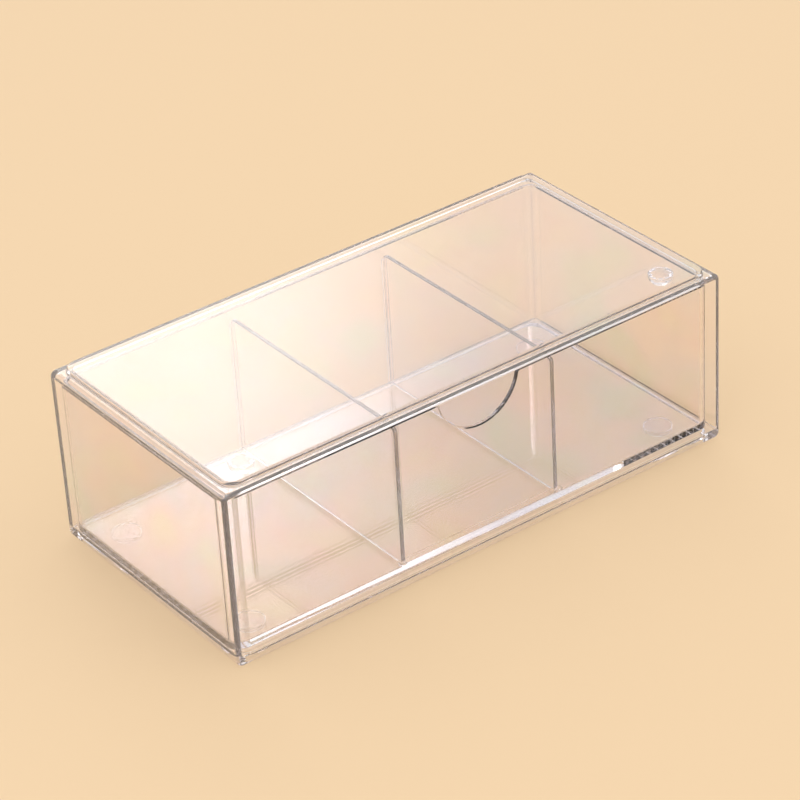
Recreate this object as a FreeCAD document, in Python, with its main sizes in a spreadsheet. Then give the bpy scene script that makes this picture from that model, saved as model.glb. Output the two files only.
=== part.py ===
import FreeCAD, Part
import math
import os
import re

import Sketcher

# A clear stackable box with one drawer, in millimetres.
# X runs along the front from left to right, Y from the open front to the closed back, Z upwards.
# The origin lies on the plane that the box stands on, under the middle of the case.

SIZES = (
    # The case and its walls
    ("case_width", "260", "outside, left to right"),
    ("case_depth", "127.6", "outside, front to back"),
    ("shell_height", "83", "from the skirt's lower edge to the ledge round the raised panel"),
    ("case_wall", "2.2", "thickness of every wall of the case"),
    ("case_edge_radius", "2.8", "outer edges that run from front to back"),
    ("case_back_radius", "1.6", "outer edges round the back wall"),
    ("case_rim_radius", "1.6", "outer edge of the open front"),
    ("case_rim_bevel", "0.3", "inner edge of the open front"),
    ("case_inner_radius", "0.9", "inner edges of the case"),
    # The raised panel on top, and the recess below that takes the next box's panel
    ("panel_rise", "2", "height above the ledge"),
    ("panel_inset_side", "4.4", "from the case's side to the panel's wall"),
    ("panel_inset_end", "2.7", "from the front or back to the panel's wall"),
    ("panel_corner_radius", "6.4", "corners of the panel seen from above"),
    ("panel_edge_radius", "0.9", "upper edge of the panel"),
    ("panel_base_radius", "0.9", "hollow edge between the panel and the ledge"),
    ("hollow_bevel", "0.4", "edges of the hollow under the panel"),
    ("stack_clearance", "0.6", "between a panel and the recess above it, all round"),
    ("stack_headroom", "0.6", "between a panel and the recess above it, in height"),
    ("recess_bevel", "0.7", "inner edge of the recess"),
    ("recess_mouth_bevel", "0.4", "lower edge of the recess"),
    # The drawer
    ("tray_side_gap", "0.5", "between the drawer and each side wall"),
    ("tray_front_setback", "3.2", "from the case's front to the drawer's front"),
    ("tray_back_gap", "0.6", "between the drawer and the back wall"),
    ("tray_floor_gap", "0.1", "between the drawer and the case's floor"),
    ("tray_head_gap", "2.6", "between the drawer's rim and the case's ceiling"),
    ("tray_wall", "2.2", "thickness of the drawer's walls"),
    ("tray_floor", "2.4", "thickness of the drawer's floor"),
    ("tray_corner_radius", "6", "upright corners, outside"),
    ("tray_bottom_bevel", "0.6", "lower edge, outside"),
    ("tray_inner_radius", "1.2", "edge between walls and floor, inside"),
    ("tray_rim_bevel", "0.5", "both edges of the rim"),
    ("notch_radius", "20.6", "finger notch"),
    ("notch_rise", "2.6", "from the rim up to the middle of the notch's circle"),
    ("notch_blend_radius", "1.6", "corners between the notch and the rim"),
    # The dividers, the guide ribs at their back ends and the sill that takes their front ends
    ("divider_offset", "41.1", "from the middle of the drawer to a divider"),
    ("divider_thickness", "2", "thickness of the sheet"),
    ("divider_drop", "4.2", "from the drawer's rim down to a divider's upper edge"),
    ("divider_floor_gap", "0.1", "under a divider"),
    ("divider_front_gap", "1.8", "between a divider and the front wall"),
    ("divider_back_gap", "0.3", "between a divider and the back wall"),
    ("divider_side_gap", "0.1", "between a divider and a rib or the sill beside it"),
    ("divider_upper_radius", "2", "upper corners of a divider"),
    ("divider_lower_radius", "1", "lower corners of a divider"),
    ("divider_bevel", "0.25", "bevel along a divider's edges"),
    ("rib_width", "0.6", "width of a guide rib"),
    ("rib_catch", "1.2", "length of a divider's back end that the ribs hold"),
    ("rib_drop", "6.2", "from the drawer's rim down to a rib's upper end"),
    ("rib_edge_radius", "0.2", "upright edges of a rib"),
    ("sill_height", "1.8", "above the drawer's floor"),
    ("sill_end", "1.2", "length of the sill beyond a divider"),
    ("sill_catch", "1.2", "length of a divider's front end that the sill takes in"),
    ("sill_gap", "0.2", "between a divider's front end and the sill"),
    ("sill_corner_radius", "0.7", "upright corners of the sill"),
    # The bumpers that stop the drawer
    ("stop_diameter", "11", "across the base of a bumper"),
    ("stop_catch", "0.8", "how far a bumper reaches below the drawer's rim"),
    ("stop_edge", "0.8", "straight edge round a bumper's base"),
    ("stop_inset_side", "20", "from the case's side to a bumper's middle"),
    ("stop_inset_front", "16", "from the case's front to a bumper's middle"),
    # The pads that the box stands on
    ("foot_diameter", "13", "across a pad"),
    ("foot_bevel", "0.5", "lower edge of a pad"),
    ("foot_inset_side", "19.5", "from the case's side to a pad's middle"),
    ("foot_inset_end", "20.5", "from the front or back to a pad's middle"),
    ("glue_film", "0.05", "adhesive between the case and a bumper or pad"),
    # How far a cut starts before the wall that it goes through, and ends behind it
    ("cut_overrun", "1", "at each end of a cut"),
)

# The largest share of a wall, step or land that one rounded edge on it takes up,
# and the largest where two rounded edges have to fit on it
ONE_EDGE_SHARE = 0.8
TWO_EDGES_SHARE = 0.45

# Farthest that a point of an edge may lie from the place where the edge is looked for
NEAR = 0.001

QUARTER_TURN = math.pi / 2
RIGHT_ANGLE = 90

# Bands that make up a bumper's half-round side
DOME_STEPS = 4

# Levels and places that follow from the sizes, as formulas of the sheet's names
RECESS_DEPTH = "(panel_rise + stack_headroom)"
RECESS_INSET_SIDE = "(panel_inset_side - stack_clearance)"
RECESS_INSET_END = "(panel_inset_end - stack_clearance)"
FLOOR_LEVEL = f"({RECESS_DEPTH} + case_wall)"
CEILING_LEVEL = "(shell_height - case_wall)"
HOLLOW_LEVEL = f"({CEILING_LEVEL} + panel_rise)"
TOP_LEVEL = "(shell_height + panel_rise)"
TRAY_BOTTOM = f"({FLOOR_LEVEL} + tray_floor_gap)"
TRAY_FLOOR_TOP = f"({TRAY_BOTTOM} + tray_floor)"
TRAY_TOP = f"({CEILING_LEVEL} - tray_head_gap)"
TRAY_FRONT = "(tray_front_setback - case_depth / 2)"
TRAY_BACK = "(case_depth / 2 - case_wall - tray_back_gap)"
TRAY_MIDDLE = f"(({TRAY_FRONT} + {TRAY_BACK}) / 2)"
TRAY_WIDTH = "(case_width - 2 * case_wall - 2 * tray_side_gap)"
TRAY_DEPTH = f"({TRAY_BACK} - {TRAY_FRONT})"
TRAY_HEIGHT = f"({TRAY_TOP} - {TRAY_BOTTOM})"
CAVITY_WIDTH = f"({TRAY_WIDTH} - 2 * tray_wall)"
CAVITY_DEPTH = f"({TRAY_DEPTH} - 2 * tray_wall)"
CAVITY_HEIGHT = f"({TRAY_TOP} - {TRAY_FLOOR_TOP})"
DIVIDER_BOTTOM = f"({TRAY_FLOOR_TOP} + divider_floor_gap)"
DIVIDER_TOP = f"({TRAY_TOP} - divider_drop)"
DIVIDER_FRONT = f"({TRAY_FRONT} + tray_wall + divider_front_gap)"
DIVIDER_BACK = f"({TRAY_BACK} - tray_wall - divider_back_gap)"
RIB_BOTTOM = f"({TRAY_FLOOR_TOP} - tray_floor / 2)"
RIB_TOP = f"({TRAY_TOP} - rib_drop)"
RIB_OFFSET = "(divider_thickness / 2 + divider_side_gap + rib_width / 2)"
RIB_LENGTH = "(tray_wall / 2 + divider_back_gap + rib_catch)"
SLOT_WIDTH = "(divider_thickness + 2 * divider_side_gap)"
SLOT_FRONT = f"({DIVIDER_FRONT} - sill_gap)"
SILL_FRONT = f"({TRAY_FRONT} + tray_wall / 2)"
SILL_BACK = f"({DIVIDER_FRONT} + sill_catch)"
SILL_TOP = f"({TRAY_FLOOR_TOP} + sill_height)"
STOP_TOP = f"({HOLLOW_LEVEL} - glue_film)"
STOP_HEIGHT = f"({STOP_TOP} - {TRAY_TOP} + stop_catch)"
FOOT_HEIGHT = f"({RECESS_DEPTH} - glue_film)"

# Rounded edges, each limited by the wall, step or land that carries it
EDGE_RADIUS = f"min(case_edge_radius; {ONE_EDGE_SHARE} * {RECESS_INSET_SIDE})"
BACK_RADIUS = (
    f"min(case_back_radius; {ONE_EDGE_SHARE} * {RECESS_INSET_END}; {ONE_EDGE_SHARE} * {EDGE_RADIUS})"
)
RIM_RADIUS = f"min(case_rim_radius; {ONE_EDGE_SHARE} * case_wall; {ONE_EDGE_SHARE} * {RECESS_INSET_END})"
RIM_BEVEL = f"min(case_rim_bevel; {ONE_EDGE_SHARE} * (case_wall - {RIM_RADIUS}))"
INNER_RADIUS = f"min(case_inner_radius; {TWO_EDGES_SHARE} * case_wall)"
INNER_BACK_BEVEL = f"({ONE_EDGE_SHARE} * {INNER_RADIUS})"
SIDE_LAND = f"({RECESS_INSET_SIDE} - {EDGE_RADIUS})"
BACK_LAND = f"({RECESS_INSET_END} - {BACK_RADIUS})"
FRONT_LAND = f"({RECESS_INSET_END} - {RIM_RADIUS})"
NARROWEST_LAND = f"min({SIDE_LAND}; {BACK_LAND}; {FRONT_LAND})"
MOUTH_BEVEL = f"min(recess_mouth_bevel; {ONE_EDGE_SHARE} * {NARROWEST_LAND})"
RECESS_BEVEL = f"min(recess_bevel; {TWO_EDGES_SHARE} * {RECESS_DEPTH})"
PANEL_TOP_RADIUS = f"min(panel_edge_radius; {TWO_EDGES_SHARE} * panel_rise)"
PANEL_LAND = f"({NARROWEST_LAND} + stack_clearance / 2)"
PANEL_BASE_RADIUS = f"min(panel_base_radius; {TWO_EDGES_SHARE} * panel_rise; {PANEL_LAND})"
HOLLOW_CORNER = "max(panel_corner_radius - case_wall; case_wall)"
HOLLOW_BEVEL = f"min(hollow_bevel; {TWO_EDGES_SHARE} * panel_rise)"
TRAY_INNER_CORNER = "max(tray_corner_radius - tray_wall; tray_wall)"
TRAY_INNER_RADIUS = f"min(tray_inner_radius; {ONE_EDGE_SHARE} * ({TRAY_INNER_CORNER}))"
TRAY_BOTTOM_BEVEL = f"min(tray_bottom_bevel; {ONE_EDGE_SHARE} * tray_wall)"
TRAY_RIM_BEVEL = f"min(tray_rim_bevel; {TWO_EDGES_SHARE} * tray_wall)"
DIVIDER_BEVEL = f"min(divider_bevel; {TWO_EDGES_SHARE} * divider_thickness)"
RIB_EDGE_RADIUS = f"min(rib_edge_radius; {TWO_EDGES_SHARE} * rib_width)"
SILL_CORNER = f"min(sill_corner_radius; {ONE_EDGE_SHARE} * sill_end; {ONE_EDGE_SHARE} * sill_catch)"
FOOT_BEVEL = f"min(foot_bevel; {ONE_EDGE_SHARE} * {FOOT_HEIGHT})"


def make_sheet(doc):
    """Keep every driving size in a cell of its own, with its name beside it."""
    sheet = doc.addObject("Spreadsheet::Sheet", "sizes")
    for row, (name, number, note) in enumerate(SIZES, start=1):
        sheet.set(f"A{row}", name)
        sheet.set(f"B{row}", number)
        sheet.set(f"C{row}", note)
        sheet.setAlias(f"B{row}", name)
    doc.recompute()
    return sheet


def spelled(formula):
    """Put the sheet's name before each size that a formula names."""
    names = {name for name, number, note in SIZES}
    return re.sub(r"[a-z_]+", lambda word: f"sizes.{word[0]}" if word[0] in names else word[0], formula)


def value(thing, formula):
    """Work out a formula with the numbers that the sheet holds."""
    return float(thing.Document.getObject("sizes").evalExpression(spelled(formula)))


def tie(thing, **formulas):
    """Bind properties to formulas; a double underscore in a name stands for a dot."""
    for name, formula in formulas.items():
        thing.setExpression(name.replace("__", "."), spelled(formula))


def new_body(doc, label, **place):
    body = doc.addObject("PartDesign::Body", label)
    body.Label = label
    for axis, formula in place.items():
        tie(body, **{f"Placement__Base__{axis}": formula})
    return body


def new_sketch(body, name, role, **offset):
    """Start a sketch on an origin plane of its body, moved along that plane's own axes."""
    plane = next(feature for feature in body.Origin.OriginFeatures if feature.Role == role)
    sketch = body.newObject("Sketcher::SketchObject", name)
    sketch.AttachmentSupport = (plane, [""])
    sketch.MapMode = "FlatFace"
    for axis, formula in offset.items():
        tie(sketch, **{f"AttachmentOffset__Base__{axis}": formula})
    return sketch


def measure(sketch, name, formula, kind, *where):
    """Add a constraint whose number is bound to a formula."""
    index = sketch.addConstraint(Sketcher.Constraint(kind, *where, value(sketch, formula)))
    sketch.renameConstraint(index, name)
    tie(sketch, **{f"Constraints__{name}": formula})


def draw_rectangle(sketch, width, height, radius, upper_radius=None):
    """Draw a rectangle with rounded corners, centred on the sketch's origin."""
    half_x = value(sketch, width) / 2
    half_y = value(sketch, height) / 2
    low = value(sketch, radius)
    high = value(sketch, upper_radius or radius)
    # Anticlockwise from the lower right corner: direction of the corner and its radius
    corners = ((1, -1, low), (1, 1, high), (-1, 1, high), (-1, -1, low))
    up = FreeCAD.Vector(0, 0, 1)
    centres = [FreeCAD.Vector(x * (half_x - r), y * (half_y - r)) for x, y, r in corners]
    arcs = []
    for turn, (centre, corner) in enumerate(zip(centres, corners)):
        first = (turn - 1) * QUARTER_TURN
        arcs.append(Part.ArcOfCircle(Part.Circle(centre, up, corner[2]), first, first + QUARTER_TURN))
    for turn, arc in enumerate(arcs):
        sketch.addGeometry(Part.LineSegment(arcs[turn - 1].EndPoint, arc.StartPoint), False)
        sketch.addGeometry(arc, False)
    for side in (0, 2, 4, 6):
        sketch.addConstraint(Sketcher.Constraint("Tangent", side, 2, side + 1, 1))
        sketch.addConstraint(Sketcher.Constraint("Tangent", side + 1, 2, (side + 2) % 8, 1))
    for side in (0, 4):
        sketch.addConstraint(Sketcher.Constraint("Horizontal", side))
    for side in (2, 6):
        sketch.addConstraint(Sketcher.Constraint("Vertical", side))
    sketch.addConstraint(Sketcher.Constraint("Equal", 1, 7))
    sketch.addConstraint(Sketcher.Constraint("Equal", 3, 5))
    measure(sketch, "lower_radius", radius, "Radius", 1)
    measure(sketch, "upper_radius", upper_radius or radius, "Radius", 3)
    measure(sketch, "below", f"{height} / 2", "DistanceY", 0, 1, -1, 1)
    measure(sketch, "right", f"{width} / 2", "DistanceX", -1, 1, 2, 1)
    measure(sketch, "above", f"{height} / 2", "DistanceY", -1, 1, 4, 1)
    measure(sketch, "left", f"{width} / 2", "DistanceX", 6, 1, -1, 1)


def draw_circle(sketch, radius):
    """Draw a circle round the sketch's origin."""
    up = FreeCAD.Vector(0, 0, 1)
    sketch.addGeometry(Part.Circle(FreeCAD.Vector(0, 0, 0), up, value(sketch, radius)), False)
    sketch.addConstraint(Sketcher.Constraint("Coincident", 0, 3, -1, 1))
    measure(sketch, "radius", radius, "Radius", 0)


def draw_profile(sketch, corners):
    """Draw a closed outline through corners that lie right of and below the sketch's origin."""
    points = [FreeCAD.Vector(value(sketch, right), -value(sketch, below)) for right, below in corners]
    for number, point in enumerate(points):
        sketch.addGeometry(Part.LineSegment(points[number - 1], point), False)
    for number, (right, below) in enumerate(corners):
        following = (number + 1) % len(corners)
        sketch.addConstraint(Sketcher.Constraint("Coincident", number, 2, following, 1))
        if right == "0":
            sketch.addConstraint(Sketcher.Constraint("PointOnObject", number, 2, -2))
        else:
            measure(sketch, f"right_{number}", right, "DistanceX", -1, 1, number, 2)
        if below == "0":
            sketch.addConstraint(Sketcher.Constraint("PointOnObject", number, 2, -1))
        else:
            measure(sketch, f"below_{number}", below, "DistanceY", number, 2, -1, 1)


def extrude(body, kind, name, sketch, length, reverse=False):
    """Pad or pocket a sketch, and make sure that the solid grew or shrank by it."""
    before = body.Shape.Volume if body.Tip else 0
    feature = body.newObject(kind, name)
    feature.Profile = sketch
    feature.Reversed = reverse
    tie(feature, Length=length)
    body.Document.recompute()
    change = body.Shape.Volume - before
    if (change > 0) != (kind == "PartDesign::Pad"):
        raise ValueError(f"{name} changed the volume by {change}")
    return feature


def round_edges(body, name, radius, wanted):
    """Round the edges of the body's last feature whose points all pass a test."""
    return dress_edges(body, "PartDesign::Fillet", name, wanted, Radius=radius)


def bevel_edges(body, name, size, wanted):
    """Bevel the edges of the body's last feature whose points all pass a test."""
    return dress_edges(body, "PartDesign::Chamfer", name, wanted, Size=size)


def dress_edges(body, kind, name, wanted, **size):
    base = body.Tip
    edges = []
    for number, edge in enumerate(base.Shape.Edges, start=1):
        if all(wanted(point) for point in edge.discretize(5)):
            edges.append(f"Edge{number}")
    feature = body.newObject(kind, name)
    feature.Base = (base, edges)
    tie(feature, **size)
    body.Document.recompute()
    return feature


def at(found, place):
    return abs(found - place) < NEAR


def make_case(doc):
    """The moulded case: a tube with a back wall, a raised panel above and a recess below."""
    body = new_body(doc, "case_shell")
    half_depth = value(body, "case_depth / 2")

    outline = new_sketch(body, "case_outline", "XZ_Plane", y="shell_height / 2", z="-case_depth / 2")
    draw_rectangle(outline, "case_width", "shell_height", EDGE_RADIUS)
    extrude(body, "PartDesign::Pad", "case_block", outline, "case_depth")
    round_edges(body, "case_back_edges", BACK_RADIUS, lambda p: at(p.y, half_depth))
    round_edges(body, "case_rim_edges", RIM_RADIUS, lambda p: at(p.y, -half_depth))

    # The room for the drawer, cut from the front up to the back wall
    room_height = f"({CEILING_LEVEL} - {FLOOR_LEVEL})"
    room_middle = f"({CEILING_LEVEL} + {FLOOR_LEVEL}) / 2"
    opening = new_sketch(body, "case_opening", "XZ_Plane", y=room_middle, z="case_depth / 2")
    draw_rectangle(opening, "(case_width - 2 * case_wall)", room_height, INNER_RADIUS)
    extrude(body, "PartDesign::Pocket", "case_room", opening, "case_depth - case_wall")
    inner_back = value(body, "case_depth / 2 - case_wall")
    bevel_edges(body, "case_inner_back_edges", INNER_BACK_BEVEL, lambda p: at(p.y, inner_back))
    within = inside(body, "case_wall", "0")
    bevel_edges(
        body, "case_inner_rim_edges", RIM_BEVEL, lambda p: at(p.y, -half_depth) and within(p)
    )

    add_panel(body)
    add_recess(body)
    return body


def add_panel(body):
    """The raised panel, hollow on the inside so that its wall is as thick as the rest."""
    panel = new_sketch(body, "panel_outline", "XY_Plane", z="shell_height")
    draw_rectangle(
        panel,
        "(case_width - 2 * panel_inset_side)",
        "(case_depth - 2 * panel_inset_end)",
        "panel_corner_radius",
    )
    extrude(body, "PartDesign::Pad", "panel_block", panel, "panel_rise")
    ledge = value(body, "shell_height")
    top = value(body, TOP_LEVEL)
    within = inside(body, "panel_inset_side", "panel_inset_end")
    round_edges(body, "panel_base_edges", PANEL_BASE_RADIUS, lambda p: at(p.z, ledge) and within(p))
    round_edges(body, "panel_top_edges", PANEL_TOP_RADIUS, lambda p: at(p.z, top))

    hollow = new_sketch(body, "hollow_outline", "XY_Plane", z=CEILING_LEVEL)
    draw_rectangle(
        hollow,
        "(case_width - 2 * panel_inset_side - 2 * case_wall)",
        "(case_depth - 2 * panel_inset_end - 2 * case_wall)",
        HOLLOW_CORNER,
    )
    extrude(body, "PartDesign::Pocket", "panel_hollow", hollow, "panel_rise", reverse=True)
    ceiling = value(body, CEILING_LEVEL)
    hollow_top = value(body, HOLLOW_LEVEL)
    within = inside(body, "panel_inset_side + case_wall", "panel_inset_end + case_wall")
    bevel_edges(body, "hollow_top_edges", HOLLOW_BEVEL, lambda p: at(p.z, hollow_top))
    bevel_edges(body, "hollow_mouth_edges", HOLLOW_BEVEL, lambda p: at(p.z, ceiling) and within(p))


def add_recess(body):
    """The recess that another box's panel fits, with the skirt that is left round it."""
    recess = new_sketch(body, "recess_outline", "XY_Plane")
    draw_rectangle(
        recess,
        f"(case_width - 2 * {RECESS_INSET_SIDE})",
        f"(case_depth - 2 * {RECESS_INSET_END})",
        "(panel_corner_radius + stack_clearance)",
    )
    extrude(body, "PartDesign::Pocket", "recess", recess, RECESS_DEPTH, reverse=True)
    depth = value(body, RECESS_DEPTH)
    within = inside(body, RECESS_INSET_SIDE, RECESS_INSET_END)
    bevel_edges(body, "recess_edges", RECESS_BEVEL, lambda p: at(p.z, depth))
    bevel_edges(body, "recess_mouth_edges", MOUTH_BEVEL, lambda p: at(p.z, 0) and within(p))


def inside(body, inset_side, inset_end):
    """A test for points no nearer to the case's outside than the insets."""
    far_x = value(body, f"case_width / 2 - ({inset_side})") + NEAR
    far_y = value(body, f"case_depth / 2 - ({inset_end})") + NEAR
    return lambda p: abs(p.x) < far_x and abs(p.y) < far_y


def make_tray(doc):
    """The drawer: an open tray with a finger notch, and ribs and a sill for the dividers."""
    body = new_body(doc, "drawer_tray")
    bottom = value(body, TRAY_BOTTOM)
    floor = value(body, TRAY_FLOOR_TOP)
    rim = value(body, TRAY_TOP)

    outline = new_sketch(body, "tray_outline", "XY_Plane", y=TRAY_MIDDLE, z=TRAY_BOTTOM)
    draw_rectangle(outline, TRAY_WIDTH, TRAY_DEPTH, "tray_corner_radius")
    extrude(body, "PartDesign::Pad", "tray_block", outline, TRAY_HEIGHT)
    bevel_edges(body, "tray_lower_edges", TRAY_BOTTOM_BEVEL, lambda p: at(p.z, bottom))

    cavity = new_sketch(body, "cavity_outline", "XY_Plane", y=TRAY_MIDDLE, z=TRAY_FLOOR_TOP)
    draw_rectangle(cavity, CAVITY_WIDTH, CAVITY_DEPTH, TRAY_INNER_CORNER)
    extrude(body, "PartDesign::Pocket", "tray_cavity", cavity, CAVITY_HEIGHT, reverse=True)
    round_edges(body, "tray_inner_edges", TRAY_INNER_RADIUS, lambda p: at(p.z, floor))

    # The notch's circle is centred just above the rim, so its lower part cuts the front wall
    centre = f"({TRAY_TOP} + notch_rise)"
    notch = new_sketch(body, "notch_outline", "XZ_Plane", y=centre, z=f"cut_overrun - {TRAY_FRONT}")
    draw_circle(notch, "notch_radius")
    extrude(body, "PartDesign::Pocket", "finger_notch", notch, "tray_wall + 2 * cut_overrun")
    side = value(body, "sqrt(notch_radius ^ 2 - notch_rise ^ 2)")
    round_edges(body, "notch_corners", "notch_blend_radius", lambda p: at(p.z, rim) and at(abs(p.x), side))
    bevel_edges(body, "tray_rim_edges", TRAY_RIM_BEVEL, lambda p: at(p.z, rim))

    guides = [add_rib(body, "inner_rib", "-"), add_rib(body, "outer_rib", "+"), add_sill(body)]
    mirror = body.newObject("PartDesign::Mirrored", "other_guides")
    mirror.Originals = guides
    mirror.MirrorPlane = (
        next(feature for feature in body.Origin.OriginFeatures if feature.Role == "YZ_Plane"),
        [""],
    )
    body.Tip = mirror
    return body


def add_rib(body, name, sign):
    """A guide rib on the back wall, beside a divider's back end."""
    place = {
        "x": f"divider_offset {sign} {RIB_OFFSET}",
        "y": f"({TRAY_BACK} - tray_wall / 2) - {RIB_LENGTH} / 2",
        "z": RIB_BOTTOM,
    }
    sketch = new_sketch(body, f"{name}_outline", "XY_Plane", **place)
    draw_rectangle(sketch, "rib_width", RIB_LENGTH, RIB_EDGE_RADIUS)
    return extrude(body, "PartDesign::Pad", name, sketch, f"{RIB_TOP} - {RIB_BOTTOM}")


def add_sill(body):
    """A low sill along the front wall's foot, slotted for the dividers' front ends."""
    outline = new_sketch(
        body, "sill_outline", "XY_Plane", y=f"({SILL_FRONT} + {SILL_BACK}) / 2", z=RIB_BOTTOM
    )
    width = f"(2 * (divider_offset + sill_end) + {SLOT_WIDTH})"
    draw_rectangle(outline, width, f"({SILL_BACK} - {SILL_FRONT})", SILL_CORNER)
    extrude(body, "PartDesign::Pad", "sill", outline, f"{SILL_TOP} - {RIB_BOTTOM}")

    slot_back = f"({SILL_BACK} + cut_overrun)"
    slot = new_sketch(
        body,
        "slot_outline",
        "XY_Plane",
        x="divider_offset",
        y=f"({SLOT_FRONT} + {slot_back}) / 2",
        z=TRAY_FLOOR_TOP,
    )
    draw_rectangle(slot, SLOT_WIDTH, f"({slot_back} - {SLOT_FRONT})", DIVIDER_BEVEL)
    return extrude(body, "PartDesign::Pocket", "sill_slot", slot, "sill_height", reverse=True)


def make_divider(doc, label, sign):
    """A sheet with rounded corners that slides down between the guide ribs."""
    body = new_body(doc, label, x=f"{sign}divider_offset")
    middle = f"({DIVIDER_FRONT} + {DIVIDER_BACK}) / 2"
    height_middle = f"({DIVIDER_TOP} + {DIVIDER_BOTTOM}) / 2"
    sketch = new_sketch(
        body, f"{label}_outline", "YZ_Plane", x=middle, y=height_middle, z="-divider_thickness / 2"
    )
    draw_rectangle(
        sketch,
        f"({DIVIDER_BACK} - {DIVIDER_FRONT})",
        f"({DIVIDER_TOP} - {DIVIDER_BOTTOM})",
        "divider_lower_radius",
        "divider_upper_radius",
    )
    extrude(body, "PartDesign::Pad", f"{label}_sheet", sketch, "divider_thickness")
    face = value(body, "divider_thickness / 2")
    bevel_edges(body, f"{label}_edges", DIVIDER_BEVEL, lambda p: at(abs(p.x), face))
    return body


def make_stop(doc, label, sign):
    """A half-round bumper, hanging from the ceiling in the way of the drawer's back wall."""
    body = new_body(
        doc,
        label,
        x=f"{sign}(case_width / 2 - stop_inset_side)",
        y="stop_inset_front - case_depth / 2",
        z=STOP_TOP,
    )
    profile = new_sketch(body, f"{label}_profile", "XZ_Plane")
    corners = [("0", "0"), ("stop_diameter / 2", "0")]
    for step in range(DOME_STEPS):
        angle = f"{RIGHT_ANGLE * step / DOME_STEPS} deg"
        drop = f"stop_edge + ({STOP_HEIGHT} - stop_edge) * sin({angle})"
        corners.append((f"stop_diameter / 2 * cos({angle})", drop))
    corners.append(("0", STOP_HEIGHT))
    draw_profile(profile, corners)

    dome = body.newObject("PartDesign::Revolution", f"{label}_dome")
    dome.Profile = profile
    dome.ReferenceAxis = (profile, ["V_Axis"])
    return body


def make_foot(doc, label, side, end):
    """A round pad in the recess, level with the skirt's lower edge."""
    body = new_body(
        doc,
        label,
        x=f"{side}(case_width / 2 - foot_inset_side)",
        y=f"{end}(case_depth / 2 - foot_inset_end)",
    )
    sketch = new_sketch(body, f"{label}_outline", "XY_Plane")
    draw_circle(sketch, "foot_diameter / 2")
    extrude(body, "PartDesign::Pad", f"{label}_pad", sketch, FOOT_HEIGHT)
    bevel_edges(body, f"{label}_edge", FOOT_BEVEL, lambda p: at(p.z, 0))
    return body


def main():
    doc = FreeCAD.newDocument("drawer_box")
    make_sheet(doc)
    pieces = [make_case(doc), make_tray(doc)]
    for side, sign in (("left", "-"), ("right", "")):
        pieces.append(make_divider(doc, f"divider_{side}", sign))
        pieces.append(make_stop(doc, f"drawer_stop_{side}", sign))
        for end, way in (("front", "-"), ("back", "")):
            pieces.append(make_foot(doc, f"foot_{end}_{side}", sign, way))
    doc.recompute()

    for thing in doc.Objects:
        if "Invalid" in thing.State or "Error" in thing.State:
            raise RuntimeError(f"{thing.Label} failed: {thing.State}")
    for piece in pieces:
        if piece.Shape.isNull() or not piece.Shape.isValid() or len(piece.Shape.Solids) != 1:
            raise RuntimeError(f"{piece.Label} is not one valid solid")
    os.makedirs("parts", exist_ok=True)
    for piece in pieces:
        piece.Shape.exportStep(f"parts/{piece.Label}.step")
        box = piece.Shape.BoundBox
        print(piece.Label, round(piece.Shape.Volume), box)


main()
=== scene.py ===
import math

import bpy
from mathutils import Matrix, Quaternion, Vector

bl_info = {
    "name": "Clear Drawer Box",
    "version": (1, 0, 0),
    "blender": (4, 5, 0),
    "location": "3D View > Sidebar > Drawer Box",
    "description": "Finishes a clear stackable drawer box and sets up its studio",
    "category": "Object",
}

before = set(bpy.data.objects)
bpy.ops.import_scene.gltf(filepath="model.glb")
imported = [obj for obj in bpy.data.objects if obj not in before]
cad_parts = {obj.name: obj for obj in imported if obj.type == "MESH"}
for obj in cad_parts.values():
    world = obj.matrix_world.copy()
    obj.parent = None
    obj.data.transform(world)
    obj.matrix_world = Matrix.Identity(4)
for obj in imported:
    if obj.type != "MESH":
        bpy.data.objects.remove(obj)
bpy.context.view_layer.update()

# How fine each pattern is: a larger number gives smaller patches
STRESS_SCALE = 26.0
SMUDGE_SCALE = 45.0
WAVE_SCALE = 30.0
SCUFF_SCALE = 250.0
GRAIN_SCALE = 400.0

# Which noise values count as a smudge or a scuff, and what each does
SMUDGED = (0.55, 0.75)
SMUDGE_ROUGHNESS = 0.03
SCUFFED = (0.3, 0.6)
LEAST_SCUFF = 0.4
# Colour that edges are greyed towards as painted shade, in place of the dark edge lines that
# refraction gives
EDGE_SHADE_COLOUR = (1, 0.95, 1.02)

# Bump strength and height of the moulding waves and of the floor's grain
WAVE_STRENGTH = 0.02
WAVE_HEIGHT = 0.001
GRAIN_STRENGTH = 0.05
GRAIN_HEIGHT = 0.0005

# The circle of the drawer's finger notch, how far the drawer's front wall reaches back, and
# over what length the dull cut and its painted shade fade out
NOTCH_HEIGHT = 0.0808
NOTCH_RADIUS = 0.0206
NOTCH_FADE = (0.0002, 0.0006)
FRONT_WALL_BACK = -0.058
FRONT_WALL_FADE = 0.001

# The soft window's edges, turned from +Y towards +X and up from the horizon: where its
# light starts and where it is full
WINDOW_LEFT = (math.radians(6), math.radians(14))
WINDOW_RIGHT = (math.radians(38), math.radians(31))
WINDOW_LOW = (math.radians(9), math.radians(16))
WINDOW_HIGH = (math.radians(37.5), math.radians(33.5))

# How bright the room is, how much is added overhead and by the window, and the heights
# between which the overhead light rises
ROOM_GLOW = 0.85
OVERHEAD_GLOW = 0.2
WINDOW_GLOW = 2.2
OVERHEAD = (-0.1, 0.9)

# Each softbox: its name, place, side and power. All face the middle of the box.
SOFTBOXES = (
    ("key_softbox", (-1.6, -0.6, 1.6), 1.2, 4),
    ("top_softbox", (0.3, -0.2, 2.0), 1.5, 4),
)
BOX_MIDDLE = (0, 0, 0.05)

# The floor lies just under the box
FLOOR_LEVEL = -0.0002
FLOOR_ROUGHNESS = 0.8

# Light is followed this often through the plastic and inside it
BOUNCES = 56
SENSOR_WIDTH = 36
VIEW_REACH = 50


# Shader building


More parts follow.
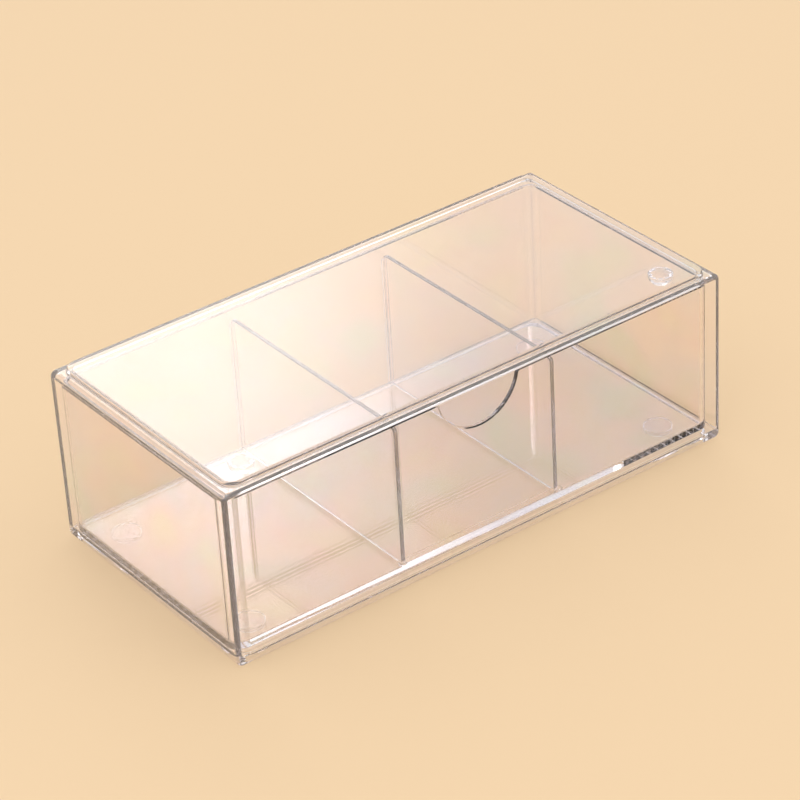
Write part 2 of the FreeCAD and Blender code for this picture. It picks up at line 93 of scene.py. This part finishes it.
class Signal:
    """A number that varies over a surface, used like a number in an expression."""

    def __init__(self, tree, socket):
        self.tree = tree
        self.socket = socket

    def math(self, operation, *operands):
        node = self.tree.nodes.new("ShaderNodeMath")
        node.operation = operation
        for socket, operand in zip(node.inputs, operands):
            feed(self.tree, socket, operand)
        return Signal(self.tree, node.outputs[0])

    def __add__(self, other):
        return self.math("ADD", self, other)

    __radd__ = __add__

    def __sub__(self, other):
        return self.math("SUBTRACT", self, other)

    def __rsub__(self, other):
        return self.math("SUBTRACT", other, self)

    def __mul__(self, other):
        return self.math("MULTIPLY", self, other)

    __rmul__ = __mul__

    def __pow__(self, other):
        return self.math("POWER", self, other)

    def between(self, low, high):
        """Rise smoothly from 0 at low to 1 at high."""
        node = self.tree.nodes.new("ShaderNodeMapRange")
        node.interpolation_type = "SMOOTHSTEP"
        for name, operand in (("Value", self), ("From Min", low), ("From Max", high)):
            feed(self.tree, node.inputs[name], operand)
        return Signal(self.tree, node.outputs["Result"])


def feed(tree, socket, operand):
    """Link a signal to a socket, or set the socket to a plain value."""
    if isinstance(operand, Signal):
        operand = operand.socket
    if isinstance(operand, bpy.types.NodeSocket):
        tree.links.new(operand, socket)
    else:
        socket.default_value = operand


def add_node(tree, kind, settings=None, **inputs):
    """Add a node: its settings first, then its sockets, with _ standing for a space."""
    node = tree.nodes.new(kind)
    for name, setting in (settings or {}).items():
        if name == "stops":
            fill_ramp(node.color_ramp, setting)
        else:
            setattr(node, name, setting)
    for name, operand in inputs.items():
        feed(tree, node.inputs[name.replace("_", " ")], operand)
    return node


def fill_ramp(ramp, stops):
    while len(ramp.elements) < len(stops):
        ramp.elements.new(1)
    for element, (place, colour) in zip(ramp.elements, stops):
        element.position = place
        element.color = colour


def noise(tree, where, scale, detail=2.0, roughness=0.5):
    node = add_node(
        tree, "ShaderNodeTexNoise", Vector=where, Scale=scale, Detail=detail, Roughness=roughness
    )
    return Signal(tree, node.outputs["Fac"])


def multiply(tree, share, first, second):
    """Multiply two colours, the second one by a share of its full effect."""
    node = add_node(tree, "ShaderNodeMix", {"data_type": "RGBA", "blend_type": "MULTIPLY"})
    for place, operand in ((0, share), (6, first), (7, second)):
        feed(tree, node.inputs[place], operand)
    return node.outputs[2]


def blend(tree, share, first, second):
    """Mix two shaders: the first where the share is 0, the second where it is 1."""
    node = add_node(tree, "ShaderNodeMixShader", Fac=share)
    for place, shader in ((1, first), (2, second)):
        tree.links.new(shader.outputs[0], node.inputs[place])
    return node


def new_material(name):
    material = bpy.data.materials.new(name)
    material.use_nodes = True
    material.node_tree.nodes.clear()
    return material, material.node_tree


def dress(names, material):
    """Give CAD nodes a material."""
    for name in names:
        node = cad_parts[name]
        node.data.materials.clear()
        node.data.materials.append(material)


# Sizes and colours that a user would change


class PlasticLook(bpy.types.PropertyGroup):
    tint: bpy.props.FloatVectorProperty(
        name="Tint",
        description="Colour that the clear plastic gives to what is seen through it",
        subtype="COLOR",
        size=4,
        default=(0.997, 0.991, 0.995, 1),
    )
    ior: bpy.props.FloatProperty(
        name="Refractive index", description="How strongly the plastic bends light", default=1.5
    )
    haze: bpy.props.FloatProperty(
        name="Haze", description="Roughness of the polished faces", default=0.01
    )
    stress: bpy.props.FloatProperty(
        name="Stress colour", description="Strength of the faint coloured patches", default=0.045
    )
    clarity: bpy.props.FloatProperty(
        name="Clarity",
        description="Share of light that passes a face without scattering",
        default=0.97,
    )
    drawer_clarity: bpy.props.FloatProperty(
        name="Drawer clarity", description="The same for the drawer", default=1.0
    )
    shadow: bpy.props.FloatVectorProperty(
        name="Shadow tint",
        description="Light that one face lets through to the surfaces behind it",
        subtype="COLOR",
        size=4,
        default=(0.997, 0.995, 0.993, 1),
    )
    edge_shadow: bpy.props.FloatVectorProperty(
        name="Edge shadow tint",
        description="Light that a face seen at a slant lets through",
        subtype="COLOR",
        size=4,
        default=(0.85, 0.84, 0.84, 1),
    )
    depth_tint: bpy.props.FloatVectorProperty(
        name="Depth tint",
        description="Colour of light that has gone a long way inside the plastic",
        subtype="COLOR",
        size=4,
        default=(0.17, 0.02, 0.13, 1),
    )
    density: bpy.props.FloatProperty(
        name="Density", description="How fast the plastic darkens with depth", default=3.5
    )
    drawer_density: bpy.props.FloatProperty(
        name="Drawer density", description="The same for the drawer", default=1.0
    )
    bumper_ior: bpy.props.FloatProperty(
        name="Bumper refractive index",
        description="How strongly the bumpers bend light",
        default=1.42,
    )
    # The scuffed strip is also where the edges are greyed as painted shade
    edge_width: bpy.props.FloatProperty(
        name="Worn edge",
        description="Width of the scuffed strip along outer edges",
        unit="LENGTH",
        default=0.0008,
    )
    case_edge_width: bpy.props.FloatProperty(
        name="Worn case edge", description="The same for the case", unit="LENGTH", default=0.0022
    )
    edge_scuff: bpy.props.FloatProperty(
        name="Edge scuff",
        description="Roughness that the wear adds along outer edges",
        default=0.12,
    )
    # Painted shade: share of light taken off along outer edges and the notch, in place of their
    # dark edge lines
    painted_edge_shade: bpy.props.FloatProperty(
        name="Edge grey", description="Light that the wear takes along outer edges", default=0.22
    )


class StudioLook(bpy.types.PropertyGroup):
    floor: bpy.props.FloatVectorProperty(
        name="Floor",
        description="Colour of the floor",
        subtype="COLOR",
        size=4,
        default=(0.78, 0.57, 0.35, 1),
    )
    floor_size: bpy.props.FloatProperty(
        name="Floor size", description="Side of the floor", unit="LENGTH", default=8.0
    )
    camera_place: bpy.props.FloatVectorProperty(
        name="Camera place",
        description="Where the camera stands",
        subtype="TRANSLATION",
        unit="LENGTH",
        default=(-0.6890, -0.9708, 0.7872),
    )
    camera_aim: bpy.props.FloatVectorProperty(
        name="Camera aim",
        description="Point in the middle of the picture",
        subtype="TRANSLATION",
        unit="LENGTH",
        default=(0.00535, 0.00314, 0.0400),
    )
    camera_roll: bpy.props.FloatProperty(
        name="Camera roll",
        description="Tilt of the picture",
        subtype="ANGLE",
        default=math.radians(3.45),
    )
    lens: bpy.props.FloatProperty(
        name="Lens", description="Focal length for a 36 mm sensor", default=147.2
    )


def edge_wear_and_shade(tree, where, names, width):
    """Mask for scuffs and painted shade along the outer edges of the box round some CAD nodes,
    broken up by noise.
    """
    corners = [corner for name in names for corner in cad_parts[name].bound_box]
    parts = add_node(tree, "ShaderNodeSeparateXYZ", Vector=where)
    near = []
    for axis, place in enumerate(parts.outputs):
        low = min(corner[axis] for corner in corners)
        high = max(corner[axis] for corner in corners)
        half = (high - low) / 2
        outward = Signal(tree, place) - (low + high) / 2
        outward = outward.math("ABSOLUTE", outward)
        near.append(outward.between(half - width, half - width / 3))
    across, along, up = near
    edges = across * along + along * up + up * across
    scuffs = noise(tree, where, SCUFF_SCALE, 4.0).between(*SCUFFED)
    broken = edges * (scuffs * (1 - LEAST_SCUFF) + LEAST_SCUFF)
    return broken.math("MINIMUM", broken, 1.0)


def notch_cut_and_shade(tree, where):
    """Mask for the dull cut round the finger notch, in the drawer's front wall; the cut is
    roughened and greyed as painted shade.
    """
    parts = add_node(tree, "ShaderNodeSeparateXYZ", Vector=where)
    x, y, z = (Signal(tree, output) for output in parts.outputs)
    up = z - NOTCH_HEIGHT
    reach = (x * x + up * up) ** 0.5
    near, far = NOTCH_FADE
    cut = 1 - reach.between(NOTCH_RADIUS + near, NOTCH_RADIUS + far)
    return cut * (1 - y.between(FRONT_WALL_BACK, FRONT_WALL_BACK + FRONT_WALL_FADE))


def stress_colour(tree, where, look):
    """The plastic's tint, with the faint pastel patches of stressed plastic."""
    s = look.stress
    stops = (
        (0.30, (1, 1 - s * 0.2, 1 - s, 1)),
        (0.42, (1, 1 - s * 0.7, 1 - s * 0.6, 1)),
        (0.50, (1, 1 - s * 0.3, 1 - s * 0.3, 1)),
        (0.58, (1 - s * 0.3, 1 - s * 0.5, 1, 1)),
        (0.70, (1 - s, 1 - s * 0.1, 1 - s * 0.4, 1)),
    )
    patches = noise(tree, where, STRESS_SCALE, 1.0)
    stress = add_node(tree, "ShaderNodeValToRGB", {"stops": stops}, Fac=patches)
    return multiply(tree, 1, look.tint, stress.outputs["Color"])


def polished_face(tree, where, wear_and_shade, look, ior, clarity):
    """Clear plastic that bends light, with smudges, moulding waves, and scuffed places that are
    rougher and greyed as painted shade.
    """
    # Painted shade: scuffed edges and the notch are greyed towards a mauve grey, in place of the
    # dark lines refraction gives there
    grey = 1 - look.painted_edge_shade
    shaded_edge_tint = [grey * part for part in EDGE_SHADE_COLOUR] + [1]
    smudges = noise(tree, where, SMUDGE_SCALE, 4.0).between(*SMUDGED)
    waves = noise(tree, where, WAVE_SCALE, 2.0)
    bump = add_node(
        tree, "ShaderNodeBump", Strength=WAVE_STRENGTH, Distance=WAVE_HEIGHT, Height=waves
    )
    return add_node(
        tree,
        "ShaderNodeBsdfPrincipled",
        Base_Color=multiply(tree, wear_and_shade, stress_colour(tree, where, look), shaded_edge_tint),
        Roughness=look.haze + smudges * SMUDGE_ROUGHNESS + wear_and_shade * look.edge_scuff,
        IOR=ior,
        Transmission_Weight=clarity,
        Normal=bump.outputs["Normal"],
    )


def face_shadow(tree, look, ior):
    """What a face lets through to the surfaces behind it, less where it is seen at a slant."""
    slant = add_node(tree, "ShaderNodeFresnel", IOR=ior)
    shadow = add_node(tree, "ShaderNodeBsdfTransparent", Color=look.shadow)
    edge_shadow = add_node(tree, "ShaderNodeBsdfTransparent", Color=look.edge_shadow)
    return blend(tree, slant.outputs[0], shadow, edge_shadow)


def clear_plastic(names, slot, look, cut=None, **own):
    """Clear plastic for some CAD nodes. Values in own replace the common look's."""
    common = {name: getattr(look, name) for name in ("ior", "clarity", "density", "edge_width")}
    kind = {**common, **own}
    material, tree = new_material(slot)
    where = add_node(tree, "ShaderNodeTexCoord").outputs["Object"]
    wear_and_shade = edge_wear_and_shade(tree, where, names, kind["edge_width"])
    # The notch adds its dull cut, greyed as painted shade, to the edge mask
    if cut:
        wear_and_shade = wear_and_shade + cut(tree, where) * (1 - wear_and_shade)
    plastic = polished_face(tree, where, wear_and_shade, look, kind["ior"], kind["clarity"])
    shade = face_shadow(tree, look, kind["ior"])
    path = add_node(tree, "ShaderNodeLightPath").outputs
    soft_light = Signal(tree, path["Is Shadow Ray"]) + Signal(tree, path["Is Diffuse Ray"])
    depth = add_node(
        tree, "ShaderNodeVolumeAbsorption", Color=look.depth_tint, Density=kind["density"]
    )
    output = add_node(tree, "ShaderNodeOutputMaterial")
    tree.links.new(blend(tree, soft_light, plastic, shade).outputs[0], output.inputs["Surface"])
    tree.links.new(depth.outputs[0], output.inputs["Volume"])
    dress(names, material)


class DRAWERBOX_OT_case(bpy.types.Operator):
    """Finish the case with clear plastic"""

    bl_idname = "drawerbox.case"
    bl_label = "Case"

    def execute(self, context):
        look = context.scene.drawer_box_plastic
        clear_plastic(["case_shell"], "case_plastic", look, edge_width=look.case_edge_width)
        return {"FINISHED"}


class DRAWERBOX_OT_drawer(bpy.types.Operator):
    """Finish the drawer and its dividers with clear plastic"""

    bl_idname = "drawerbox.drawer"
    bl_label = "Drawer"

    def execute(self, context):
        look = context.scene.drawer_box_plastic
        clearer = {"clarity": look.drawer_clarity, "density": look.drawer_density}
        clear_plastic(["drawer_tray"], "drawer_plastic", look, notch_cut_and_shade, **clearer)
        clear_plastic(["divider_left", "divider_right"], "divider_plastic", look)
        return {"FINISHED"}


class DRAWERBOX_OT_bumpers(bpy.types.Operator):
    """Finish the bumpers and pads with clear soft plastic"""

    bl_idname = "drawerbox.bumpers"
    bl_label = "Bumpers and pads"

    def execute(self, context):
        look = context.scene.drawer_box_plastic
        names = [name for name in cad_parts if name.startswith(("drawer_stop", "foot"))]
        clear_plastic(names, "bumper_plastic", look, ior=look.bumper_ior)
        return {"FINISHED"}


class DRAWERBOX_OT_studio(bpy.types.Operator):
    """Set up the floor, the lamps, the world and the camera"""

    bl_idname = "drawerbox.studio"
    bl_label = "Studio"

    def execute(self, context):
        look = context.scene.drawer_box_studio
        make_floor(look)
        make_lamps()
        make_world(context.scene)
        make_camera(context.scene, look)
        cycles = context.scene.cycles
        cycles.max_bounces = BOUNCES
        cycles.transmission_bounces = BOUNCES
        cycles.glossy_bounces = BOUNCES
        cycles.transparent_max_bounces = BOUNCES
        cycles.caustics_reflective = False
        cycles.caustics_refractive = False
        context.scene.view_settings.view_transform = "Standard"
        return {"FINISHED"}


def make_floor(look):
    """A plain floor just under the box, seen from above only, so the underside shows."""
    half = look.floor_size / 2
    mesh = bpy.data.meshes.new("floor")
    corners = ((-half, -half), (half, -half), (half, half), (-half, half))
    mesh.from_pydata([(x, y, FLOOR_LEVEL) for x, y in corners], [], [(0, 1, 2, 3)])
    floor = bpy.data.objects.new("floor", mesh)
    bpy.context.scene.collection.objects.link(floor)
    material, tree = new_material("floor_paint")
    where = add_node(tree, "ShaderNodeTexCoord").outputs["Object"]
    grain = noise(tree, where, GRAIN_SCALE, 3.0)
    bump = add_node(
        tree, "ShaderNodeBump", Strength=GRAIN_STRENGTH, Distance=GRAIN_HEIGHT, Height=grain
    )
    paint = add_node(
        tree,
        "ShaderNodeBsdfPrincipled",
        Base_Color=look.floor,
        Roughness=FLOOR_ROUGHNESS,
        Normal=bump.outputs["Normal"],
    )
    behind = add_node(tree, "ShaderNodeNewGeometry").outputs["Backfacing"]
    one_sided = blend(tree, behind, paint, add_node(tree, "ShaderNodeBsdfTransparent"))
    output = add_node(tree, "ShaderNodeOutputMaterial")
    tree.links.new(one_sided.outputs[0], output.inputs["Surface"])
    mesh.materials.append(material)


def make_lamps():
    for name, place, side, power in SOFTBOXES:
        data = bpy.data.lights.new(name, "AREA")
        data.shape = "RECTANGLE"
        data.size = data.size_y = side
        data.energy = power
        lamp = bpy.data.objects.new(name, data)
        lamp.location = place
        lamp.rotation_mode = "QUATERNION"
        lamp.rotation_quaternion = (Vector(BOX_MIDDLE) - Vector(place)).to_track_quat("-Z", "Y")
        bpy.context.scene.collection.objects.link(lamp)


def make_world(scene):
    """A pale room, lighter overhead, with one broad soft window behind the box."""
    world = bpy.data.worlds.new("studio")
    scene.world = world
    world.use_nodes = True
    tree = world.node_tree
    tree.nodes.clear()
    where = add_node(tree, "ShaderNodeTexCoord").outputs["Generated"]
    parts = add_node(tree, "ShaderNodeSeparateXYZ", Vector=where)
    height = Signal(tree, parts.outputs["Z"])
    turn = height.math("ARCTAN2", parts.outputs["X"], parts.outputs["Y"])
    rise = height.math("ARCSINE", height)
    window = turn.between(*WINDOW_LEFT) * (1 - turn.between(*reversed(WINDOW_RIGHT)))
    window = window * rise.between(*WINDOW_LOW) * (1 - rise.between(*reversed(WINDOW_HIGH)))
    glow = height.between(*OVERHEAD) * OVERHEAD_GLOW + ROOM_GLOW + window * WINDOW_GLOW
    sky = add_node(tree, "ShaderNodeBackground", Color=(1, 1, 1, 1), Strength=glow)
    output = add_node(tree, "ShaderNodeOutputWorld")
    tree.links.new(sky.outputs[0], output.inputs["Surface"])


def make_camera(scene, look):
    data = bpy.data.cameras.new("camera")
    data.sensor_width = SENSOR_WIDTH
    data.lens = look.lens
    data.clip_end = VIEW_REACH
    camera = bpy.data.objects.new("camera", data)
    place = Vector(look.camera_place)
    camera.location = place
    camera.rotation_mode = "QUATERNION"
    aim = (Vector(look.camera_aim) - place).to_track_quat("-Z", "Y")
    camera.rotation_quaternion = aim @ Quaternion((0, 0, 1), -look.camera_roll)
    scene.collection.objects.link(camera)
    scene.camera = camera


class DRAWERBOX_PT_panel(bpy.types.Panel):
    bl_idname = "DRAWERBOX_PT_panel"
    bl_label = "Drawer Box"
    bl_space_type = "VIEW_3D"
    bl_region_type = "UI"
    bl_category = "Drawer Box"

    def draw(self, context):
        layout = self.layout
        for look in (context.scene.drawer_box_plastic, context.scene.drawer_box_studio):
            for name in look.__annotations__:
                layout.prop(look, name)
        for operator in OPERATORS:
            layout.operator(operator.bl_idname)


OPERATORS = (DRAWERBOX_OT_case, DRAWERBOX_OT_drawer, DRAWERBOX_OT_bumpers, DRAWERBOX_OT_studio)
CLASSES = (PlasticLook, StudioLook, *OPERATORS, DRAWERBOX_PT_panel)


def register():
    for each in CLASSES:
        bpy.utils.register_class(each)
    bpy.types.Scene.drawer_box_plastic = bpy.props.PointerProperty(type=PlasticLook)
    bpy.types.Scene.drawer_box_studio = bpy.props.PointerProperty(type=StudioLook)


def unregister():
    del bpy.types.Scene.drawer_box_studio
    del bpy.types.Scene.drawer_box_plastic
    for each in reversed(CLASSES):
        bpy.utils.unregister_class(each)


def main():
    register()
    bpy.ops.drawerbox.case()
    bpy.ops.drawerbox.drawer()
    bpy.ops.drawerbox.bumpers()
    bpy.ops.drawerbox.studio()


if __name__ == "__main__":
    main()
